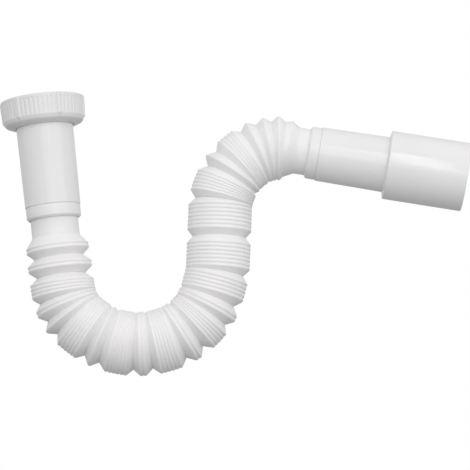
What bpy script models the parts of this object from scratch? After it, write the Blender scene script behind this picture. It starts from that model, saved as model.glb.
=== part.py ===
# Flexible sink trap: a captive coupling nut on a straight inlet pipe, a folding hose laid in an S,
# and a stepped outlet pipe. Metres, Z up, X towards the outlet, everything centred on Y = 0.
# The origin is the middle of the washer's sealing face. The inlet leans a little off the vertical,
# and every piece is placed from the inlet axis or from the end of the hose.
import math

import bmesh
import bpy
from mathutils import Matrix, Vector

CLEARANCE = 0.0003

# Inlet side, measured down the inlet axis from the origin.
INLET_TILT = 6.4
INLET_RADIUS = 0.0168
INLET_DRAFT = 0.0005
INLET_WALL = 0.0026
INLET_SEAT_WALL = 0.0009
INLET_LENGTH = 0.0550
FLANGE_REACH = 0.0024
FLANGE_THICKNESS = 0.0024
WASHER_THICKNESS = 0.0025

# Coupling nut, for a pipe thread of about 42 mm.
NUT_HEIGHT = 0.0166
NUT_FLOOR = 0.0021
NUT_BORE_GAP = 0.00175
NUT_WALL = 0.0036
NUT_TAPER = 0.0006
NUT_RIM_HEIGHT = 0.0021
NUT_BASE_HEIGHT = 0.0048
NUT_RIB_DEPTH = 0.0005
NUT_RIB_END = 0.0003
NUT_LUG_REACH = 0.0006
NUT_LUG_SHARE = 0.84
NUT_BAND = 0.0003
NUT_SHOULDER_HEIGHT = 0.0021
NUT_SHOULDER_INSET = 0.0014
NUT_CONE_HEIGHT = 0.0009
NUT_CONE_INSET = 0.0031
NUT_LIP = 0.0004
NUT_GRIPS = 6
RIBS_PER_GRIP = 8
GRIP_START = -57.0

# Retaining rings, which hold the hose ends in the pipes.
RING_WALL = 0.0008
RING_SPIGOT = 0.0082
RING_CHAMFER = 0.0011
INLET_RING_LENGTH = 0.0074
INLET_RING_SINK = 0.0003
OUTLET_RING_LENGTH = 0.0063
OUTLET_RING_SINK = 0.0005

# Hose.
CUFF_WALL = 0.0014
CUFF_FLANGE = 0.0015
CUFF_SHOWN_IN = 0.0100
CUFF_SHOWN_OUT = 0.0060
FLARE_IN = 0.0061
FLARE_OUT = 0.0057
RIM_RADIUS = 0.0188
RIM_PITCH = 0.00235
RIM_GROOVE = 0.0006
FOLD_WIDTH = 0.0065
HOSE_WALL = 0.0010
PACK_DEPTH = 0.0056
START_TURN = 1.5
END_TURN = 2.0
FIRST_RIM_DROP = 0.0004
LAST_RIM_DROP = 0.0021

# Packs of folded rims from inlet to outlet: rims in the pack, degrees turned over the pack, then
# the open fold that follows: its width as a multiple of FOLD_WIDTH, the degrees turned over it, and
# its depth as a share of its width.
PACKS = (
    (2, 0, 1.31, 0, 0.55),
    (2, 0, 1.33, 0, 0.55),
    (4, 3, 0.77, 12, 0.42),
    (2, 0, 0.86, 14, 0.41),
    (1, 0, 0.95, 12, 0.43),
    (6, 7, 1.00, 10, 0.44),
    (1, 0, 1.13, 9, 0.38),
    (6, 8, 0.98, 10, 0.38),
    (2, 0, 1.01, 10, 0.39),
    (6, 7, 0.96, 13, 0.40),
    (2, 0, 1.05, 10, 0.48),
    (5, 8, 0.92, 12, 0.40),
    (2, 0, 1.03, 12, 0.41),
    (5, 7, 1.32, 2, 0.38),
    (7, 4, 1.31, 0, 0.38),
    (7, 0, 0.84, -13, 0.40),
    (6, -10, 1.10, -9, 0.42),
    (1, 0, 1.03, -13, 0.30),
    (5, -8, 1.01, -11, 0.32),
    (1, 0, 0.98, -13, 0.28),
    (1, 0, 0.96, -11, 0.31),
    (1, 0, 0.83, -11, 0.34),
    (1, 0, 0.00, 0, 0.00),
)

# Outlet side, measured from the hose end of its retaining ring.
OUTLET_RADIUS = 0.0159
OUTLET_DRAFT = 0.0005
OUTLET_WALL = 0.0021
OUTLET_SEAT_WALL = 0.0008
OUTLET_NARROW = 0.0400
OUTLET_WIDE_RADIUS = 0.0203
OUTLET_WIDE_WALL = 0.0021
OUTLET_WIDE = 0.0467
OUTLET_STEP = 0.0008
OUTLET_STEP_ROUND = 0.0005
OUTLET_CONE = 0.0050

HOSE_SEGMENTS = 22
TURNED_SEGMENTS = 32


def clear_scene():
    for item in list(bpy.data.objects):
        bpy.data.objects.remove(item, do_unlink=True)


def plastic(name, colour, roughness):
    material = bpy.data.materials.new(name)
    material.use_nodes = True
    shader = material.node_tree.nodes["Principled BSDF"]
    shader.inputs["Base Color"].default_value = (*colour, 1.0)
    shader.inputs["Roughness"].default_value = roughness
    material.diffuse_color = (*colour, 1.0)
    return material


def frame_at(spot, heading):
    # Local Z runs along the path. A heading of 0 is straight down and 90 is along X.
    move = Matrix.Translation((spot[0], 0.0, spot[1]))
    return move @ Matrix.Rotation(math.pi - math.radians(heading), 4, "Y")


def step(spot, heading, length):
    angle = math.radians(heading)
    return (spot[0] + length * math.sin(angle), spot[1] - length * math.cos(angle))


def closed_tube(name, rings, angles, material):
    # Each ring is a frame and either one radius or one for each angle. The last ring is joined
    # back to the first, which closes the body.
    mesh = bmesh.new()
    spoke = mesh.verts.layers.int.new("spoke")
    loop = bmesh.ops.create_circle(mesh, cap_ends=False, radius=1.0, segments=len(angles))
    verts = loop["verts"]
    for index, vert in enumerate(verts):
        vert[spoke] = index
    edges = list(mesh.edges)
    first = None
    for frame, radius in [*rings, rings[0]]:
        if first is None:
            first = verts
        else:
            grown = bmesh.ops.extrude_edge_only(mesh, edges=edges)["geom"]
            verts = [item for item in grown if isinstance(item, bmesh.types.BMVert)]
            fresh = set(verts)
            edges = [
                item
                for item in grown
                if isinstance(item, bmesh.types.BMEdge) and fresh.issuperset(item.verts)
            ]
        for vert in verts:
            angle = angles[vert[spoke]]
            reach = radius if isinstance(radius, float) else radius[vert[spoke]]
            local = Vector((reach * math.cos(angle), reach * math.sin(angle), 0.0))
            vert.co = frame @ local
    bmesh.ops.remove_doubles(mesh, verts=[*first, *verts], dist=0.000001)
    bmesh.ops.recalc_face_normals(mesh, faces=list(mesh.faces))
    for face in mesh.faces:
        face.smooth = True
    data = bpy.data.meshes.new(name)
    mesh.to_mesh(data)
    mesh.free()
    data.set_sharp_from_angle(angle=math.radians(32.0))
    data.materials.append(material)
    body = bpy.data.objects.new(name, data)
    bpy.context.scene.collection.objects.link(body)
    return body


def turned(name, profile, base, material):
    # A profile of radius and distance along the local axis, turned round that axis.
    angles = [2.0 * math.pi * k / TURNED_SEGMENTS for k in range(TURNED_SEGMENTS)]
    rings = [(base @ Matrix.Translation((0.0, 0.0, along)), radius) for radius, along in profile]
    return closed_tube(name, rings, angles, material)


def inlet_frame():
    return frame_at((0.0, 0.0), INLET_TILT)


def flange_start():
    return WASHER_THICKNESS + CLEARANCE


def nut_floor_start():
    return flange_start() + FLANGE_THICKNESS + CLEARANCE


def inlet_shoulder():
    # Where the pipe's bore widens for the ring and the hose end.
    return INLET_LENGTH - RING_SPIGOT - CUFF_FLANGE - 2.0 * CLEARANCE


def inlet_end_radius():
    # The inlet pipe narrows a little downwards.
    return INLET_RADIUS - INLET_DRAFT


def inlet_seat():
    return inlet_end_radius() - INLET_SEAT_WALL


def outlet_seat():
    return OUTLET_RADIUS - OUTLET_SEAT_WALL


def spigot_radius(seat):
    # The ring's spigot and the flange of the hose both fit in the pipe's seat.
    return seat - CLEARANCE


def cuff_radius(seat):
    # The hose's plain end passes through the ring.
    return spigot_radius(seat) - RING_WALL - CLEARANCE


def inlet_ring_end():
    return INLET_LENGTH + CLEARANCE + INLET_RING_LENGTH


def build_washer(material):
    inner = INLET_RADIUS - INLET_WALL
    outer = INLET_RADIUS + FLANGE_REACH
    profile = [
        (inner, 0.0),
        (outer, 0.0),
        (outer, WASHER_THICKNESS),
        (inner, WASHER_THICKNESS),
    ]
    return turned("sealing_washer", profile, inlet_frame(), material)


def build_inlet_pipe(material):
    bore = INLET_RADIUS - INLET_WALL
    start = flange_start()
    flange = start + FLANGE_THICKNESS
    reach = INLET_RADIUS + FLANGE_REACH
    seat = inlet_seat()
    profile = [
        (bore, start),
        (reach, start),
        (reach, flange),
        (INLET_RADIUS, flange),
        (inlet_end_radius(), INLET_LENGTH),
        (seat, INLET_LENGTH),
        (seat, inlet_shoulder()),
        (bore, inlet_shoulder()),
    ]
    return turned("inlet_pipe", profile, inlet_frame(), material)


def ring_profile(outer, length, seat):
    # Distances from the hose end of the ring. The spigot goes into the pipe.
    spigot = spigot_radius(seat)
    bore = spigot - RING_WALL
    return [
        (bore, 0.0),
        (outer - RING_CHAMFER, 0.0),
        (outer, RING_CHAMFER),
        (outer, length),
        (spigot, length),
        (spigot, length + RING_SPIGOT),
        (bore, length + RING_SPIGOT),
    ]


def build_inlet_ring(material):
    turn_round = Matrix.Rotation(math.pi, 4, "X")
    base = inlet_frame() @ Matrix.Translation((0.0, 0.0, inlet_ring_end())) @ turn_round
    outer = inlet_end_radius() - INLET_RING_SINK
    profile = ring_profile(outer, INLET_RING_LENGTH, inlet_seat())
    return turned("inlet_retaining_ring", profile, base, material)


def grip_angles():
    # Two corners for each fine rib and four for each grip lug.
    angles = []
    tips = []
    share = math.radians(360.0 / NUT_GRIPS / (RIBS_PER_GRIP + 1))
    half = NUT_LUG_SHARE / 2.0
    for grip in range(NUT_GRIPS):
        start = math.radians(GRIP_START + 360.0 / NUT_GRIPS * grip)
        for corner, tip in ((-0.5, 1), (-half, 2), (half, 2), (0.5, 1)):
            angles.append(start + corner * share)
            tips.append(tip)
        for rib in range(RIBS_PER_GRIP):
            angles.append(start + (rib + 1.0) * share)
            tips.append(1)
            if rib + 1 < RIBS_PER_GRIP:
                angles.append(start + (rib + 1.5) * share)
                tips.append(0)
    return angles, tips


def build_nut(material):
    angles, tips = grip_angles()
    bore = INLET_RADIUS + FLANGE_REACH + NUT_BORE_GAP
    hole = INLET_RADIUS + CLEARANCE
    outer = bore + NUT_WALL
    low = outer - NUT_TAPER
    floor = nut_floor_start()
    bottom = floor + NUT_FLOOR
    top = bottom - NUT_HEIGHT
    reach = {0: -NUT_RIB_DEPTH, 1: 0.0, 2: NUT_LUG_REACH}
    lugs = {0: 0.0, 1: 0.0, 2: NUT_LUG_REACH}
    rib_top = top + NUT_RIM_HEIGHT
    rib_end = bottom - NUT_BASE_HEIGHT
    slope = NUT_TAPER / (rib_end - top)
    high = outer - slope * NUT_RIM_HEIGHT
    profile = [
        (bore, top),
        (outer, top),
        ([high + lugs[tip] for tip in tips], rib_top),
        ([high + reach[tip] for tip in tips], rib_top + NUT_RIB_END),
        ([low + reach[tip] for tip in tips], rib_end),
        ([low + lugs[tip] for tip in tips], rib_end + NUT_RIB_END),
        (low, rib_end + NUT_RIB_END + NUT_BAND),
        (low - NUT_SHOULDER_INSET, bottom - NUT_SHOULDER_HEIGHT),
        (low - NUT_CONE_INSET, bottom - NUT_CONE_HEIGHT),
        (hole + NUT_LIP, bottom),
        (hole, bottom),
        (hole, floor),
        (bore, floor),
    ]
    base = inlet_frame()
    rings = [(base @ Matrix.Translation((0.0, 0.0, along)), radius) for radius, along in profile]
    return closed_tube("coupling_nut", rings, angles, material)


def hose_start():
    return inlet_shoulder() + CLEARANCE


def pack_rim(index):
    # The first and the last pack are a little smaller than the rest.
    if index == 0:
        return RIM_RADIUS - FIRST_RIM_DROP
    if index + 1 == len(PACKS):
        return RIM_RADIUS - LAST_RIM_DROP
    return RIM_RADIUS


def lay_hose():
    # Walks from rim to rim. Gives the outer rings, the inner rings and the last spot and heading.
    cuff_end = step((0.0, 0.0), INLET_TILT, inlet_ring_end() + CUFF_SHOWN_IN)
    heading = INLET_TILT + START_TURN
    spot = step(cuff_end, heading, FLARE_IN)
    outer = []
    inner = []
    for index, (rims, turn, share, fold_turn, depth) in enumerate(PACKS):
        rim = pack_rim(index)
        lean = turn / (rims - 1) if rims > 1 else 0.0
        pitch = RIM_PITCH - RIM_RADIUS * math.radians(abs(lean))
        pocket = rim - (1.4 * HOSE_WALL if rims == 1 else PACK_DEPTH)
        outer.append((frame_at(spot, heading), rim))
        inner.append((frame_at(spot, heading), pocket))
        for _ in range(rims - 1):
            middle = step(spot, heading + lean / 2.0, pitch / 2.0)
            spot = step(spot, heading + lean / 2.0, pitch)
            outer.append((frame_at(middle, heading + lean / 2.0), rim - RIM_GROOVE))
            heading += lean
            outer.append((frame_at(spot, heading), rim))
        if rims > 2:
            inner.append((frame_at(spot, heading), pocket))
        if index + 1 < len(PACKS):
            width = share * FOLD_WIDTH
            middle = step(spot, heading + fold_turn / 2.0, width / 2.0)
            aside = Vector((-depth * RIM_RADIUS * math.radians(fold_turn), 0.0, 0.0))
            frame = frame_at(middle, heading + fold_turn / 2.0) @ Matrix.Translation(aside)
            radius = RIM_RADIUS - depth * width
            outer.append((frame, radius))
            inner.append((frame, radius - HOSE_WALL))
            spot = step(spot, heading + fold_turn / 2.0, width)
            heading += fold_turn
    return outer, inner, spot, heading


def outlet_frame():
    # The hose end of the outlet ring, looking along the outlet.
    _, _, spot, heading = lay_hose()
    heading += END_TURN
    return frame_at(step(spot, heading, FLARE_OUT + CUFF_SHOWN_OUT), heading)


def outlet_seat_end():
    return OUTLET_RING_LENGTH + RING_SPIGOT + CUFF_FLANGE + 2.0 * CLEARANCE


def build_hose(material):
    first = inlet_frame()
    final = outlet_frame()
    outer, inner, _, _ = lay_hose()
    cuff_end = inlet_ring_end() + CUFF_SHOWN_IN
    flange_in = spigot_radius(inlet_seat())
    flange_out = spigot_radius(outlet_seat())
    cuff_in = cuff_radius(inlet_seat())
    cuff_out = cuff_radius(outlet_seat())
    start = hose_start()
    last = outlet_seat_end() - CLEARANCE

    def near_inlet(radius, along):
        return (first @ Matrix.Translation((0.0, 0.0, along)), radius)

    def near_outlet(radius, along):
        return (final @ Matrix.Translation((0.0, 0.0, along)), radius)

    rings = [
        near_inlet(cuff_in - CUFF_WALL, start),
        near_inlet(flange_in, start),
        near_inlet(flange_in, start + CUFF_FLANGE),
        near_inlet(cuff_in, start + CUFF_FLANGE),
        near_inlet(cuff_in, cuff_end),
        *outer,
        near_outlet(cuff_out, -CUFF_SHOWN_OUT),
        near_outlet(cuff_out, last - CUFF_FLANGE),
        near_outlet(flange_out, last - CUFF_FLANGE),
        near_outlet(flange_out, last),
        near_outlet(cuff_out - CUFF_WALL, last),
        near_outlet(cuff_out - CUFF_WALL, -CUFF_SHOWN_OUT),
        *reversed(inner),
        near_inlet(cuff_in - CUFF_WALL, cuff_end),
    ]
    angles = [2.0 * math.pi * k / HOSE_SEGMENTS for k in range(HOSE_SEGMENTS)]
    return closed_tube("corrugated_hose", rings, angles, material)


def build_outlet_ring(material):
    outer = OUTLET_RADIUS - OUTLET_RING_SINK
    profile = ring_profile(outer, OUTLET_RING_LENGTH, outlet_seat())
    return turned("outlet_retaining_ring", profile, outlet_frame(), material)


def build_outlet_pipe(material):
    seat = outlet_seat()
    bore = OUTLET_RADIUS - OUTLET_WALL
    start = OUTLET_RING_LENGTH + CLEARANCE
    shoulder = outlet_seat_end()
    stepped = start + OUTLET_NARROW
    edge = stepped + OUTLET_STEP
    end = edge + OUTLET_WIDE
    wide_bore = OUTLET_WIDE_RADIUS - OUTLET_WIDE_WALL
    profile = [
        (seat, start),
        (OUTLET_RADIUS, start),
        (OUTLET_RADIUS + OUTLET_DRAFT, stepped),
        (OUTLET_WIDE_RADIUS - OUTLET_STEP_ROUND, edge),
        (OUTLET_WIDE_RADIUS, edge + OUTLET_STEP_ROUND),
        (OUTLET_WIDE_RADIUS, end),
        (wide_bore, end),
        (wide_bore, stepped + OUTLET_CONE),
        (bore, stepped),
        (bore, shoulder),
        (seat, shoulder),
    ]
    return turned("outlet_pipe", profile, outlet_frame(), material)


def build_part():
    clear_scene()
    white = (0.86, 0.87, 0.88)
    build_nut(plastic("nut_plastic", white, 0.35))
    build_washer(plastic("washer_rubber", (0.05, 0.05, 0.055), 0.7))
    build_inlet_pipe(plastic("inlet_plastic", white, 0.25))
    build_inlet_ring(plastic("inlet_ring_plastic", white, 0.3))
    build_hose(plastic("hose_plastic", (0.88, 0.89, 0.90), 0.45))
    build_outlet_ring(plastic("outlet_ring_plastic", white, 0.3))
    build_outlet_pipe(plastic("outlet_plastic", white, 0.25))


build_part()
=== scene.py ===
import math
import bmesh
import bpy
from mathutils import Matrix, Vector


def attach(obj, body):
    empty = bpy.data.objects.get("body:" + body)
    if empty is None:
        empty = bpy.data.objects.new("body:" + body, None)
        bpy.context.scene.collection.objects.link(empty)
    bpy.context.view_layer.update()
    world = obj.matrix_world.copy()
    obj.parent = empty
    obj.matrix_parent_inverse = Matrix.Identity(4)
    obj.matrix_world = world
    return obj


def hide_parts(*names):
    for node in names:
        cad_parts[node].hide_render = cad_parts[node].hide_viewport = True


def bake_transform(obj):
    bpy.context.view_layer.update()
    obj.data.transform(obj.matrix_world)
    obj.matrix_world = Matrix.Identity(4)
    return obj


print("frame: loading the packed model")
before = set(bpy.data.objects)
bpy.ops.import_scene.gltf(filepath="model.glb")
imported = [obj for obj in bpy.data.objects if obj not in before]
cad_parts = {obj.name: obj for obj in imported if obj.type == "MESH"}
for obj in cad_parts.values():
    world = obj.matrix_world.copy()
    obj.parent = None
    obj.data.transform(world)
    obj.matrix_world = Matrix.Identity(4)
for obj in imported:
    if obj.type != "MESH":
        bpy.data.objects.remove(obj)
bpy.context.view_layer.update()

# Sizes shared by several pieces, in metres and degrees, the same as in the model's source.
layout = {
    "clearance": 0.0003,
    "inletTilt": 6.4,
    "inletLength": 0.0550,
    "inletRingLength": 0.0074,
    "ringSpigot": 0.0082,
    "cuffFlange": 0.0015,
}
# Corner radii of the turned profiles.
tightBend, smallBend, softBend = 0.0002, 0.0003, 0.0004


def frameAt(spot, heading):
    # Local Z runs along the path. A heading of 0 is straight down and 90 is along X.
    move = Matrix.Translation((spot[0], 0.0, spot[1]))
    return move @ Matrix.Rotation(math.pi - math.radians(heading), 4, "Y")


def stepFrom(spot, heading, length):
    angle = math.radians(heading)
    return (spot[0] + length * math.sin(angle), spot[1] - length * math.cos(angle))


def shift(base, along):
    return base @ Matrix.Translation((0.0, 0.0, along))


def addPiece(name, mesh):
    data = bpy.data.meshes.new(name)
    mesh.to_mesh(data)
    mesh.free()
    piece = bpy.data.objects.new(name, data)
    bpy.context.scene.collection.objects.link(piece)
    return piece


def smoothFaces(mesh):
    bmesh.ops.recalc_face_normals(mesh, faces=list(mesh.faces))
    for face in mesh.faces:
        face.smooth = True


def ringTube(name, rings, segments):
    # Grows a closed tube from ring to ring. A ring is a frame and one radius, or a radius for each
    # segment, and the last ring is joined back to the first.
    weldDistance = 0.0000005
    mesh = bmesh.new()
    spoke = mesh.verts.layers.int.new("spoke")
    verts = bmesh.ops.create_circle(mesh, cap_ends=False, radius=1.0, segments=segments)["verts"]
    for index, vert in enumerate(verts):
        vert[spoke] = index
    turns = [2.0 * math.pi * k / segments for k in range(segments)]
    circle = [(math.cos(turn), math.sin(turn)) for turn in turns]
    edges = list(mesh.edges)
    first = verts
    for number, (place, radius) in enumerate([*rings, rings[0]]):
        if number > 0:
            grown = bmesh.ops.extrude_edge_only(mesh, edges=edges)["geom"]
            verts = [item for item in grown if isinstance(item, bmesh.types.BMVert)]
            fresh = set(verts)
            edges = [
                item
                for item in grown
                if isinstance(item, bmesh.types.BMEdge) and fresh.issuperset(item.verts)
            ]
        for vert in verts:
            index = vert[spoke]
            reach = radius if isinstance(radius, float) else radius[index]
            local = Vector((reach * circle[index][0], reach * circle[index][1], 0.0))
            vert.co = place @ local
    bmesh.ops.remove_doubles(mesh, verts=[*first, *verts], dist=weldDistance)
    smoothFaces(mesh)
    return addPiece(name, mesh)


def roundedProfile(profile, steps):
    # Rounds the corners of a closed profile of radius, distance and corner radius. A corner takes
    # up less than half of either side.
    sideShare = 0.45
    result = []
    count = len(profile)
    for index, (radius, along, bend) in enumerate(profile):
        here = Vector((radius, along))
        if bend <= 0.0:
            result.append((radius, along))
            continue
        before = Vector(profile[index - 1][:2]) - here
        after = Vector(profile[(index + 1) % count][:2]) - here
        reach = min(bend, before.length * sideShare, after.length * sideShare)
        start = here + before.normalized() * reach
        end = here + after.normalized() * reach
        for k in range(steps + 1):
            t = k / steps
            point = start * (1 - t) ** 2 + here * (2 * t * (1 - t)) + end * t**2
            result.append((point.x, point.y))
    return result


def turnedPiece(name, profile, base, segments=128, steps=4):
    rings = [(shift(base, along), radius) for radius, along in roundedProfile(profile, steps)]
    return ringTube(name, rings, segments)


def addNoise(nodes, scale, detail):
    noise = nodes.new("ShaderNodeTexNoise")
    noise.inputs["Scale"].default_value = scale
    noise.inputs["Detail"].default_value = detail
    return noise


def addPlastic(name, look):
    # Moulded plastic: a faint cloudiness in the colour, uneven gloss and a soft ripple.
    cloudLow, cloudHigh = 0.3, 0.7
    material = bpy.data.materials.new(name)
    material.use_nodes = True
    nodes = material.node_tree.nodes
    links = material.node_tree.links
    shader = nodes["Principled BSDF"]
    shader.inputs["IOR"].default_value = look["ior"]
    if "depth" in look:
        shader.inputs["Subsurface Weight"].default_value = look["depth"]
        shader.inputs["Subsurface Scale"].default_value = look["depthScale"]
        shader.inputs["Subsurface Radius"].default_value = look["depthSpread"]
    place = nodes.new("ShaderNodeTexCoord")
    cloud = addNoise(nodes, look["cloudScale"], 4.0)
    links.new(place.outputs["Object"], cloud.inputs["Vector"])
    tint = nodes.new("ShaderNodeValToRGB")
    darkEnd, lightEnd = tint.color_ramp.elements
    darkEnd.position = cloudLow
    darkEnd.color = (*look["dark"], 1.0)
    lightEnd.position = cloudHigh
    lightEnd.color = (*look["light"], 1.0)
    links.new(cloud.outputs["Fac"], tint.inputs["Fac"])
    links.new(tint.outputs["Color"], shader.inputs["Base Color"])
    gloss = nodes.new("ShaderNodeMapRange")
    gloss.inputs["From Min"].default_value = cloudLow
    gloss.inputs["From Max"].default_value = cloudHigh
    gloss.inputs["To Min"].default_value = look["roughLow"]
    gloss.inputs["To Max"].default_value = look["roughHigh"]
    links.new(cloud.outputs["Fac"], gloss.inputs["Value"])
    links.new(gloss.outputs["Result"], shader.inputs["Roughness"])
    grain = addNoise(nodes, look["grainScale"], 3.0)
    links.new(place.outputs["Object"], grain.inputs["Vector"])
    bump = nodes.new("ShaderNodeBump")
    bump.inputs["Strength"].default_value = look["bump"]
    bump.inputs["Distance"].default_value = look["bumpDistance"]
    links.new(grain.outputs["Fac"], bump.inputs["Height"])
    links.new(bump.outputs["Normal"], shader.inputs["Normal"])
    material.diffuse_color = (*look["light"], 1.0)
    return material


print("materials")
pipeLook = {
    "light": (0.814, 0.803, 0.808),
    "dark": (0.790, 0.778, 0.783),
    "roughLow": 0.12,
    "roughHigh": 0.17,
    "ior": 1.49,
    "cloudScale": 38.0,
    "grainScale": 260.0,
    "bump": 0.08,
    "bumpDistance": 0.0004,
}
hoseLook = {
    **pipeLook,
    "depth": 0.3,
    "depthScale": 0.0025,
    "depthSpread": (1.0, 0.98, 0.97),
    "light": (0.862, 0.851, 0.856),
    "dark": (0.841, 0.830, 0.835),
    "roughLow": 0.40,
    "roughHigh": 0.50,
    "cloudScale": 60.0,
    "grainScale": 420.0,
    "bump": 0.12,
    "bumpDistance": 0.0003,
}
nutLook = {
    **pipeLook,
    "light": (0.770, 0.760, 0.764),
    "dark": (0.748, 0.737, 0.742),
    "roughLow": 0.30,
    "roughHigh": 0.40,
    "grainScale": 340.0,
}
rubberLook = {
    "light": (0.045, 0.045, 0.048),
    "dark": (0.030, 0.030, 0.033),
    "roughLow": 0.62,
    "roughHigh": 0.78,
    "ior": 1.52,
    "cloudScale": 90.0,
    "grainScale": 900.0,
    "bump": 0.25,
    "bumpDistance": 0.0002,
}
pipePlastic = addPlastic("pipePlastic", pipeLook)
ringPlastic = addPlastic("ringPlastic", {**pipeLook, "roughLow": 0.30, "roughHigh": 0.38})
hosePlastic = addPlastic("hosePlastic", hoseLook)
nutPlastic = addPlastic("nutPlastic", nutLook)
washerRubber = addPlastic("washerRubber", rubberLook)


def dress(piece, material, node, body=None):
    piece.data.materials.append(material)
    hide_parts(node)
    if body:
        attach(piece, body)


inletBase = frameAt((0.0, 0.0), layout["inletTilt"])
inletRingEnd = layout["inletLength"] + layout["clearance"] + layout["inletRingLength"]

print("hose: laying the folds")
# A row of packs: rims in the pack, degrees turned over the pack, width of the open fold that
# follows as a multiple of foldWidth, degrees turned over it, and its depth as a share of its width.
# A pack with a lone rim is loneWalls walls deep.
hose = {
    "segments": 112,
    "rimRadius": 0.0188,
    "firstRimDrop": 0.0004,
    "lastRimDrop": 0.0021,
    "rimPitch": 0.00235,
    "groove": 0.00036,
    "foldWidth": 0.0065,
    "wall": 0.0010,
    "packDepth": 0.0056,
    "loneWalls": 1.4,
    "beadShare": 0.15,
    "beadDrop": 0.06,
    "cuffIn": 0.0140,
    "cuffOut": 0.0137,
    "cuffWall": 0.0014,
    "flangeIn": 0.0151,
    "flangeOut": 0.0148,
    "shownIn": 0.0100,
    "shownOut": 0.0060,
    "flareIn": 0.0061,
    "flareOut": 0.0057,
    "outletRingLength": 0.0063,
    "startTurn": 1.5,
    "endTurn": 2.0,
    "stretchReach": 0.1055,
    "packs": (
        (2, 0, 1.31, 0, 0.55),
        (2, 0, 1.33, 0, 0.55),
        (4, 3, 0.77, 12, 0.42),
        (2, 0, 0.86, 14, 0.41),
        (1, 0, 0.95, 12, 0.43),
        (6, 7, 1.00, 10, 0.44),
        (1, 0, 1.13, 9, 0.38),
        (6, 8, 0.98, 10, 0.38),
        (2, 0, 1.01, 10, 0.39),
        (6, 7, 0.96, 13, 0.40),
        (2, 0, 1.05, 10, 0.48),
        (5, 8, 0.92, 12, 0.40),
        (2, 0, 1.03, 12, 0.41),
        (5, 1, 0.87, 11, 0.38),
        (7, 1, 1.33, 0, 0.38),
        (7, 0, 0.84, -13, 0.40),
        (6, -10, 1.10, -9, 0.42),
        (1, 0, 1.03, -13, 0.30),
        (5, -8, 1.01, -11, 0.32),
        (1, 0, 0.98, -13, 0.28),
        (1, 0, 0.905, -11, 0.31),
        (1, 0, 0.83, -11, 0.34),
        (1, 0, 0.00, 0, 0.00),
    ),
    "firstSeam": 3,
    "secondSeam": 16,
}


def mixed(low, high, share):
    return low + (high - low) * share


def beadDrops(groove):
    # From rim to rim: the distance as a share of the pitch, and how far the wall has dropped.
    half = []
    for share in (0.1, 0.2, 0.3, 0.4, 0.46):
        half.append((share, groove * math.sin(math.pi * share) ** 2))
    return [*half, (0.5, groove), *[(1.0 - share, drop) for share, drop in reversed(half)]]


def foldDrops(share, fall):
    # Across an open fold: the distance as a share of its width, and how far the wall has dropped
    # towards the valley. A rounded bead comes first, then a straight flank and the valley.
    half = [(share * 0.5, fall * 0.22), (share * 0.85, fall * 0.62), (share, fall)]
    half += [(mixed(share, 1.0, k), mixed(fall, 1.0, k)) for k in (0.25, 0.5, 0.75)]
    half.append((mixed(share, 1.0, 0.92), mixed(fall, 1.0, 0.92) - 0.01))
    folds = [(across / 2.0, drop) for across, drop in half]
    return [*folds, (0.5, 1.0), *[(1.0 - across, drop) for across, drop in reversed(folds)]]


def packRim(index):
    # The first and the last pack are a little smaller than the rest.
    if index == 0:
        return hose["rimRadius"] - hose["firstRimDrop"]
    if index + 1 == len(hose["packs"]):
        return hose["rimRadius"] - hose["lastRimDrop"]
    return hose["rimRadius"]


def layHose():
    # Outer and inner rings in order, each with the number of its pack, or half a number more in
    # the middle of the fold that follows.
    radius = hose["rimRadius"]
    heading = layout["inletTilt"] + hose["startTurn"]
    spot = stepFrom((0.0, 0.0), layout["inletTilt"], inletRingEnd + hose["shownIn"])
    spot = stepFrom(spot, heading, hose["flareIn"])
    outer = []
    inner = []
    beads = beadDrops(hose["groove"])
    folds = foldDrops(hose["beadShare"], hose["beadDrop"])
    for index, (rims, turn, width, foldTurn, depth) in enumerate(hose["packs"]):
        lean = turn / (rims - 1) if rims > 1 else 0.0
        rim = packRim(index)
        pitch = hose["rimPitch"] - radius * math.radians(abs(lean))
        pocket = rim - (hose["loneWalls"] * hose["wall"] if rims == 1 else hose["packDepth"])
        outer.append((frameAt(spot, heading), rim, index))
        inner.append((frameAt(spot, heading), pocket, index))
        for _ in range(rims - 1):
            for share, drop in beads:
                middle = stepFrom(spot, heading + lean / 2.0, pitch * share)
                outer.append((frameAt(middle, heading + lean * share), rim - drop, index))
            spot = stepFrom(spot, heading + lean / 2.0, pitch)
            heading += lean
            outer.append((frameAt(spot, heading), rim, index))
        if rims > 2:
            inner.append((frameAt(spot, heading), pocket, index))
        if index + 1 < len(hose["packs"]):
            length = width * hose["foldWidth"]
            valley = radius - depth * length
            lost = depth * radius * math.radians(foldTurn)
            for share, drop in folds:
                # The fold is shallower on the inside of its turn, so its valley moves aside.
                aside = Matrix.Translation((-drop * lost, 0.0, 0.0))
                middle = stepFrom(spot, heading + foldTurn / 2.0, length * share)
                place = frameAt(middle, heading + foldTurn * share) @ aside
                if share == 0.5:
                    outer.append((place, valley, index + 0.5))
                    inner.append((place, valley - hose["wall"], index + 0.5))
                else:
                    near = index if share < 0.5 else index + 1
                    outer.append((place, mixed(packRim(near), valley, drop), near))
            spot = stepFrom(spot, heading + foldTurn / 2.0, length)
            heading += foldTurn
    return outer, inner, spot, heading


outerRings, innerRings, hoseEnd, hoseHeading = layHose()
outletHeading = hoseHeading + hose["endTurn"]
outletSpot = stepFrom(hoseEnd, outletHeading, hose["flareOut"] + hose["shownOut"])
outletBase = frameAt(outletSpot, outletHeading)
seatStart = layout["inletLength"] - layout["ringSpigot"] - layout["cuffFlange"]
seatStart -= layout["clearance"]
cuffEnd = inletRingEnd + hose["shownIn"]
lastEnd = hose["outletRingLength"] + layout["ringSpigot"] + layout["cuffFlange"]
lastEnd += layout["clearance"]
# Distance along a flare and rise from cuff to rim, as shares.
flareShape = ((0.07, 0.02), (0.15, 0.08), (0.35, 0.29), (0.60, 0.56), (0.85, 0.83), (0.95, 0.94))


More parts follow.
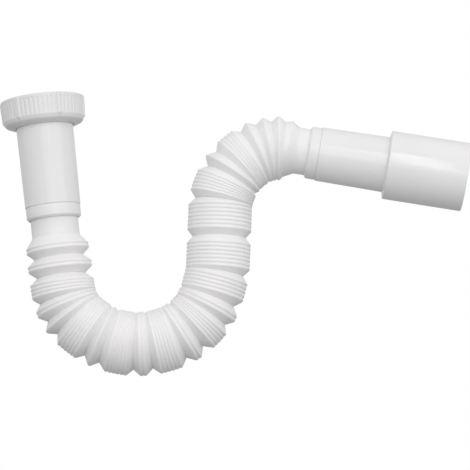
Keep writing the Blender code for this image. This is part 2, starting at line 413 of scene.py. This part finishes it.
def ringsBetween(rings, low, high):
    # The rings from pack low up to pack high, with the half fold at either end.
    return [(place, radius) for place, radius, index in rings if low - 1 < index < high]


def inletFlare():
    # From the plain cuff out to the first rim.
    spot = stepFrom((0.0, 0.0), layout["inletTilt"], cuffEnd)
    rings = []
    for along, rise in flareShape:
        heading = layout["inletTilt"] + hose["startTurn"]
        place = stepFrom(spot, heading, along * hose["flareIn"])
        turn = layout["inletTilt"] + along * hose["startTurn"]
        rings.append((frameAt(place, turn), mixed(hose["cuffIn"], packRim(0), rise)))
    return rings


def outletFlare():
    # From the last rim down to the plain cuff.
    rings = []
    lastRim = packRim(len(hose["packs"]) - 1)
    for along, rise in reversed(flareShape):
        place = stepFrom(hoseEnd, outletHeading, (1.0 - along) * hose["flareOut"])
        turn = hoseHeading + (1.0 - along) * hose["endTurn"]
        rings.append((frameAt(place, turn), mixed(hose["cuffOut"], lastRim, rise)))
    return rings


boreIn = hose["cuffIn"] - hose["cuffWall"]
boreOut = hose["cuffOut"] - hose["cuffWall"]
inletRings = [
    (shift(inletBase, seatStart), boreIn),
    (shift(inletBase, seatStart), hose["flangeIn"]),
    (shift(inletBase, seatStart + layout["cuffFlange"]), hose["flangeIn"]),
    (shift(inletBase, seatStart + layout["cuffFlange"]), hose["cuffIn"]),
    (shift(inletBase, cuffEnd), hose["cuffIn"]),
    *inletFlare(),
    *ringsBetween(outerRings, 0, hose["firstSeam"]),
    *reversed(ringsBetween(innerRings, 0, hose["firstSeam"])),
    (shift(inletBase, cuffEnd), boreIn),
]
hoseTop = ringTube("hoseInletFolds", inletRings, hose["segments"])

middleRings = ringsBetween(outerRings, hose["firstSeam"], hose["secondSeam"])
middleRings += reversed(ringsBetween(innerRings, hose["firstSeam"], hose["secondSeam"]))
hoseMiddle = ringTube("hoseMiddleFolds", middleRings, hose["segments"])

outletRings = [
    *ringsBetween(outerRings, hose["secondSeam"], len(hose["packs"])),
    *outletFlare(),
    (shift(outletBase, -hose["shownOut"]), hose["cuffOut"]),
    (shift(outletBase, lastEnd - layout["cuffFlange"]), hose["cuffOut"]),
    (shift(outletBase, lastEnd - layout["cuffFlange"]), hose["flangeOut"]),
    (shift(outletBase, lastEnd), hose["flangeOut"]),
    (shift(outletBase, lastEnd), boreOut),
    (shift(outletBase, -hose["shownOut"]), boreOut),
    *reversed(ringsBetween(innerRings, hose["secondSeam"], len(hose["packs"]))),
]
hoseBend = ringTube("hoseOutletFolds", outletRings, hose["segments"])

dress(hoseTop, hosePlastic, "corrugated_hose")
dress(hoseMiddle, hosePlastic, "corrugated_hose", "hose")
dress(hoseBend, hosePlastic, "corrugated_hose")
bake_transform(hoseTop)
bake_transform(hoseBend)

print("pipes and rings")
inletPipe = {
    "radius": 0.0168,
    "draft": 0.0005,
    "wall": 0.0026,
    "seatWall": 0.0009,
    "flangeReach": 0.0024,
    "flangeStart": 0.0028,
    "flangeThickness": 0.0024,
}
bore = inletPipe["radius"] - inletPipe["wall"]
pipeTip = inletPipe["radius"] - inletPipe["draft"]
seat = pipeTip - inletPipe["seatWall"]
flangeRadius = inletPipe["radius"] + inletPipe["flangeReach"]
flangeEnd = inletPipe["flangeStart"] + inletPipe["flangeThickness"]
shoulder = seatStart - layout["clearance"]
pipe = turnedPiece(
    "inletPipeBody",
    [
        (bore, inletPipe["flangeStart"], smallBend),
        (flangeRadius, inletPipe["flangeStart"], smallBend),
        (flangeRadius, flangeEnd, smallBend),
        (inletPipe["radius"], flangeEnd, softBend),
        (pipeTip, layout["inletLength"], smallBend),
        (seat, layout["inletLength"], tightBend),
        (seat, shoulder, 0.0),
        (bore, shoulder, tightBend),
    ],
    inletBase,
)
dress(pipe, pipePlastic, "inlet_pipe", "inlet")

ringShape = {
    "wall": 0.0008,
    "chamfer": 0.0011,
    "inletSink": 0.0003,
    "outletSink": 0.0005,
    "seam": 0.00003,
}


def ringProfile(outer, length, seatRadius):
    spigot = seatRadius - layout["clearance"]
    inside = spigot - ringShape["wall"]
    face = length + layout["clearance"] - ringShape["seam"]
    return [
        (inside, 0.0, tightBend),
        (outer - ringShape["chamfer"], 0.0, smallBend),
        (outer, ringShape["chamfer"], softBend),
        (outer, face, tightBend),
        (spigot, face, 0.0),
        (spigot, length + layout["ringSpigot"], tightBend),
        (inside, length + layout["ringSpigot"], tightBend),
    ]


turnRound = Matrix.Rotation(math.pi, 4, "X")
inletRing = turnedPiece(
    "inletRetainingRing",
    ringProfile(pipeTip - ringShape["inletSink"], layout["inletRingLength"], seat),
    shift(inletBase, inletRingEnd) @ turnRound,
)
dress(inletRing, ringPlastic, "inlet_retaining_ring", "inlet")

outletPipe = {
    "radius": 0.0159,
    "draft": 0.0005,
    "wall": 0.0021,
    "seatWall": 0.0008,
    "narrow": 0.0400,
    "step": 0.0008,
    "wideRadius": 0.0203,
    "wideWall": 0.0021,
    "wide": 0.0467,
    "cone": 0.0050,
    "coneBend": 0.0010,
    "edgeBend": 0.0008,
}
outletSeat = outletPipe["radius"] - outletPipe["seatWall"]
outletRingRadius = outletPipe["radius"] - ringShape["outletSink"]
outletRing = turnedPiece(
    "outletRetainingRing",
    ringProfile(outletRingRadius, hose["outletRingLength"], outletSeat),
    outletBase,
)
dress(outletRing, ringPlastic, "outlet_retaining_ring", "outlet")

pipeStart = hose["outletRingLength"] + layout["clearance"]
stepped = pipeStart + outletPipe["narrow"]
edge = stepped + outletPipe["step"]
outletEnd = edge + outletPipe["wide"]
outletBore = outletPipe["radius"] - outletPipe["wall"]
wideBore = outletPipe["wideRadius"] - outletPipe["wideWall"]
outlet = turnedPiece(
    "outletPipeBody",
    [
        (outletSeat, pipeStart, tightBend),
        (outletPipe["radius"], pipeStart, smallBend),
        (outletPipe["radius"] + outletPipe["draft"], stepped, smallBend),
        (outletPipe["wideRadius"], edge, outletPipe["edgeBend"]),
        (outletPipe["wideRadius"], outletEnd, softBend),
        (wideBore, outletEnd, softBend),
        (wideBore, stepped + outletPipe["cone"], outletPipe["coneBend"]),
        (outletBore, stepped, outletPipe["coneBend"]),
        (outletBore, lastEnd + layout["clearance"], 0.0),
        (outletSeat, lastEnd + layout["clearance"], 0.0),
    ],
    outletBase,
)
dress(outlet, pipePlastic, "outlet_pipe", "outlet")

print("washer")
washerShape = {"thickness": 0.0025}
washer = turnedPiece(
    "sealingWasher",
    [
        (bore, 0.0, softBend),
        (flangeRadius, 0.0, softBend),
        (flangeRadius, washerShape["thickness"], softBend),
        (bore, washerShape["thickness"], softBend),
    ],
    inletBase,
)
dress(washer, washerRubber, "sealing_washer", "washer")

print("nut")
nut = {
    "height": 0.0166,
    "floorStart": 0.0055,
    "floor": 0.0021,
    "bore": 0.02095,
    "wall": 0.0036,
    "taper": 0.0006,
    "rimHeight": 0.0021,
    "baseHeight": 0.0048,
    "ribDepth": 0.00032,
    "ribFlat": 0.45,
    "ribFlank": 0.5,
    "ribCurve": 1.3,
    "lugReach": 0.0006,
    "lugWidth": 1.0,
    "lugFlank": 0.30,
    "grips": 6,
    "ribsPerGrip": 8,
    "gripStart": -57.0,
    "band": 0.0003,
    "bandEase": 0.0003,
    "shoulderHeight": 0.0020,
    "shoulderInset": 0.0011,
    "coneHeight": 0.0009,
    "coneInset": 0.0031,
    "lip": 0.0004,
    "samplesPerRib": 14,
    "threadPitch": 0.002309,
    "threadDepth": 0.00148,
    "threadRoot": 0.0003,
    "threadStart": 0.0012,
    "threadTurns": 4.6,
    "threadSteps": 480,
    "threadSharp": 35.0,
}


def limited(share):
    return max(0.0, min(1.0, share))


def nutShape():
    # For each direction, how much of a rib and how much of a lug stands there.
    pitches = nut["grips"] * (nut["ribsPerGrip"] + 1)
    segments = pitches * nut["samplesPerRib"]
    ribs = []
    lugs = []
    for k in range(segments):
        pitch = (360.0 * k / segments - nut["gripStart"]) / 360.0 * pitches
        number = round(pitch)
        across = abs(pitch - number) * 2.0
        if number % (nut["ribsPerGrip"] + 1) == 0:
            ribs.append(1.0)
            lugs.append(limited((nut["lugWidth"] - across) / nut["lugFlank"]))
        else:
            side = limited((across - nut["ribFlat"]) / nut["ribFlank"])
            ribs.append(1.0 - side ** nut["ribCurve"])
            lugs.append(0.0)
    return segments, ribs, lugs


nutSegments, nutRibs, nutLugs = nutShape()
nutOuter = nut["bore"] + nut["wall"]
nutHole = inletPipe["radius"] + layout["clearance"]
nutBottom = nut["floorStart"] + nut["floor"]
nutTop = nutBottom - nut["height"]


def nutRing(radius, along, ribShare=0.0, lugShare=0.0):
    cut = ribShare * nut["ribDepth"]
    lift = lugShare * nut["lugReach"]
    reach = [radius - cut * (1.0 - rib) + lift * lug for rib, lug in zip(nutRibs, nutLugs)]
    return (shift(inletBase, along), reach)


ribTop = nutTop + nut["rimHeight"]
ribEnd = nutBottom - nut["baseHeight"]
bandEnd = ribEnd + nut["bandEase"] + nut["band"]
slope = nut["taper"] / (ribEnd - nutTop)
low = nutOuter - nut["taper"]
rimLow = nutOuter - slope * nut["rimHeight"]
shoulderRadius = low - nut["shoulderInset"]
shoulderPlace = nutBottom - nut["shoulderHeight"]
coneRadius = low - nut["coneInset"]
conePlace = nutBottom - nut["coneHeight"]
lipRadius = nutHole + nut["lip"]
# Down the outside and back up the inside. The small offsets round the edges.
nutRings = [
    nutRing(nut["bore"], nutTop + 0.0003),
    nutRing(nut["bore"] + 0.0003, nutTop),
    nutRing(nutOuter - 0.0006, nutTop, 0.0, 0.2),
    nutRing(nutOuter - 0.0002, nutTop + 0.00018, 0.0, 0.6),
    nutRing(nutOuter, nutTop + 0.0006, 0.0, 1.0),
    nutRing(rimLow + slope * 0.0003, ribTop - 0.0003, 0.0, 1.0),
    nutRing(rimLow - 0.00005, ribTop, 0.15, 1.0),
    nutRing(rimLow - slope * 0.0004, ribTop + 0.0004, 0.95, 1.0),
    nutRing(rimLow - slope * 0.0010, ribTop + 0.0010, 1.0, 1.0),
    nutRing(low + slope * 0.0010, ribEnd - 0.0010, 1.0, 1.0),
    nutRing(low + slope * 0.0003, ribEnd - 0.0003, 0.9, 1.0),
    nutRing(low, ribEnd + 0.0002, 0.1, 1.0),
    nutRing(low, ribEnd + 0.0004, 0.0, 1.0),
    nutRing(low - 0.0001, bandEnd + 0.0001, 0.0, 0.8),
    nutRing(low - 0.0004, bandEnd + 0.0007, 0.0, 0.4),
    nutRing(shoulderRadius + 0.0003, shoulderPlace - 0.0004),
    nutRing(shoulderRadius - 0.0003, shoulderPlace + 0.0003),
    nutRing(coneRadius + 0.0004, conePlace - 0.0003),
    nutRing(coneRadius - 0.0006, conePlace + 0.0002),
    nutRing(lipRadius + 0.0004, nutBottom - 0.0001),
    nutRing(lipRadius, nutBottom),
    nutRing(nutHole, nutBottom - 0.0002),
    nutRing(nutHole, nut["floorStart"]),
    nutRing(nut["bore"], nut["floorStart"]),
]
nutPiece = ringTube("couplingNutBody", nutRings, nutSegments)
dress(nutPiece, nutPlastic, "coupling_nut", "nut")


def addThread():
    # One ridge profile swept along a helix inside the bore, with both ends closed.
    mesh = bmesh.new()
    root = nut["bore"] + nut["threadRoot"]
    tip = nut["bore"] - nut["threadDepth"]
    pitch = nut["threadPitch"]
    along = nutTop + nut["threadStart"]
    seed = bmesh.ops.create_circle(mesh, cap_ends=True, radius=1.0, segments=4)
    corners = [(root, 0.0), (tip, 0.36), (tip, 0.54), (root, 0.9)]
    for vert, (radius, share) in zip(seed["verts"], corners):
        vert.co = Vector((radius, 0.0, along + share * pitch))
    bmesh.ops.spin(
        mesh,
        geom=[*mesh.verts, *mesh.edges, *mesh.faces],
        cent=(0.0, 0.0, 0.0),
        axis=(0.0, 0.0, 1.0),
        dvec=(0.0, 0.0, pitch * nut["threadTurns"] / nut["threadSteps"]),
        angle=2.0 * math.pi * nut["threadTurns"],
        steps=nut["threadSteps"],
        use_duplicate=False,
    )
    smoothFaces(mesh)
    mesh.transform(inletBase)
    piece = addPiece("couplingNutThread", mesh)
    piece.data.set_sharp_from_angle(angle=math.radians(nut["threadSharp"]))
    return piece


thread = addThread()
thread.data.materials.append(nutPlastic)
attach(thread, "nut")

print("stage, light and camera")
stage = {
    "centre": (0.1132, 0.0, -0.0715),
    "floorPlace": (0.11, 0.0, -0.34),
    "floorSize": 4.0,
    "floorColor": (0.44, 0.44, 0.44),
    "floorRough": 0.8,
    "sky": 0.71,
    "lamps": {
        "frontLamp": {"place": (-0.10, -1.30, 0.45), "size": (1.35, 0.80), "power": 4.1},
        "keyLamp": {"place": (0.30, -1.28, 0.45), "size": (0.28, 0.80), "power": 1.5},
        "sideLamp": {"place": (0.95, -0.85, 0.30), "size": (0.80, 0.80), "power": 2.0},
        "lowLamp": {"place": (0.20, -1.30, -0.05), "size": (1.00, 0.40), "power": 1.1},
    },
}
floorMesh = bmesh.new()
bmesh.ops.create_grid(floorMesh, x_segments=1, y_segments=1, size=stage["floorSize"] / 2.0)
floor = addPiece("studioFloor", floorMesh)
floor.location = stage["floorPlace"]
floorMaterial = bpy.data.materials.new("floorPale")
floorMaterial.use_nodes = True
floorShader = floorMaterial.node_tree.nodes["Principled BSDF"]
floorShader.inputs["Base Color"].default_value = (*stage["floorColor"], 1.0)
floorShader.inputs["Roughness"].default_value = stage["floorRough"]
floor.data.materials.append(floorMaterial)

# The camera sees a white backdrop, and the part is lit by a dimmer sky.
world = bpy.data.worlds.new("studioWhite")
bpy.context.scene.world = world
world.use_nodes = True
sky = world.node_tree.nodes
skyLinks = world.node_tree.links
white = (1.0, 1.0, 1.0, 1.0)
seen = sky.new("ShaderNodeLightPath")
pure = sky.new("ShaderNodeBackground")
pure.inputs["Color"].default_value = white
pure.inputs["Strength"].default_value = 1.0
lit = sky["Background"]
lit.inputs["Color"].default_value = white
lit.inputs["Strength"].default_value = stage["sky"]
mix = sky.new("ShaderNodeMixShader")
skyLinks.new(seen.outputs["Is Camera Ray"], mix.inputs["Fac"])
skyLinks.new(lit.outputs["Background"], mix.inputs[1])
skyLinks.new(pure.outputs["Background"], mix.inputs[2])
skyLinks.new(mix.outputs["Shader"], sky["World Output"].inputs["Surface"])


def addLamp(name, look, aim):
    data = bpy.data.lights.new(name, "AREA")
    data.shape = "RECTANGLE"
    data.size, data.size_y = look["size"]
    data.energy = look["power"]
    lamp = bpy.data.objects.new(name, data)
    lamp.location = look["place"]
    aside = Vector(aim) - Vector(look["place"])
    lamp.rotation_euler = aside.to_track_quat("-Z", "Y").to_euler()
    bpy.context.scene.collection.objects.link(lamp)


for lampName, lampLook in stage["lamps"].items():
    addLamp(lampName, lampLook, stage["centre"])

view = {"elevation": -7.1, "distance": 1.468, "lens": 191.5, "sensor": 36.0}
cameraData = bpy.data.cameras.new("photoCamera")
cameraData.lens = view["lens"]
cameraData.sensor_width = view["sensor"]
cameraData.sensor_fit = "HORIZONTAL"
cameraData.clip_start = 0.05
cameraData.clip_end = 50.0
camera = bpy.data.objects.new("photoCamera", cameraData)
rise = math.radians(view["elevation"])
away = Vector((0.0, -math.cos(rise), math.sin(rise)))
camera.location = Vector(stage["centre"]) + away * view["distance"]
camera.rotation_euler = (-away).to_track_quat("-Z", "Y").to_euler()
bpy.context.scene.collection.objects.link(camera)
bpy.context.scene.camera = camera
bpy.context.scene.view_settings.view_transform = "Standard"

bpy.context.view_layer.update()
print("finishing")
